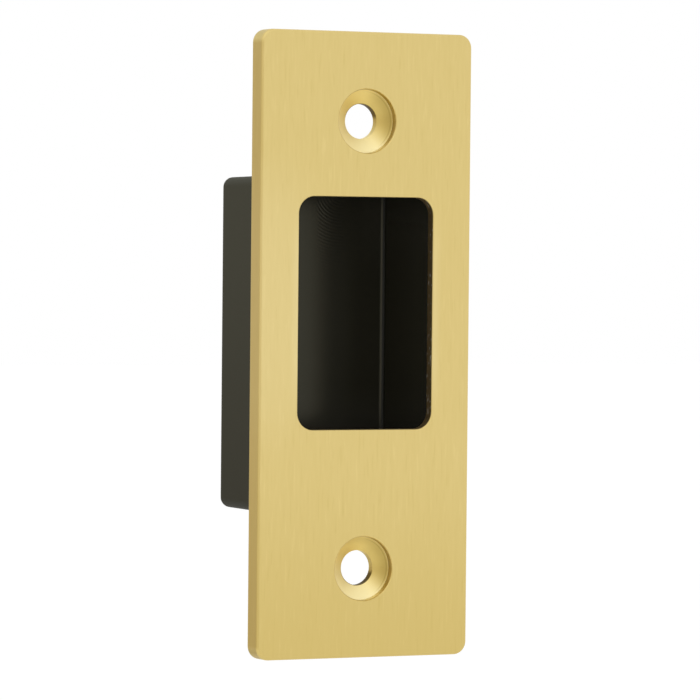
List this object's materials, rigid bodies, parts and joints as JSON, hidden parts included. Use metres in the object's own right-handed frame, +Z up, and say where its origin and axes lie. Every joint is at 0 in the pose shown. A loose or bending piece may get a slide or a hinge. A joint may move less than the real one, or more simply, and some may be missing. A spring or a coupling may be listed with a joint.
{
  "type": "pocket door pull",
  "caption": "Flush pull for a sliding pocket door: satin brass plate with countersunk screw holes and a rectangular finger window, backed by a black moulded cup.",
  "frame": {"origin": "midway between the two screw holes, on the plate's back face, which lies on the door", "axes": "+Z up along the plate's length, -Y out of the door's face through the screw holes, +X to the right seen from the front"},
  "size_m": [0.03, 0.0184, 0.08],
  "materials": {
    "satin_brass": "satin, brushed along its length",
    "black_plastic": "moulded, low sheen"
  },
  "bodies": {
    "root": {"face_plate": "satin_brass", "finger_cup": "black_plastic"}
  },
  "joints": []
}
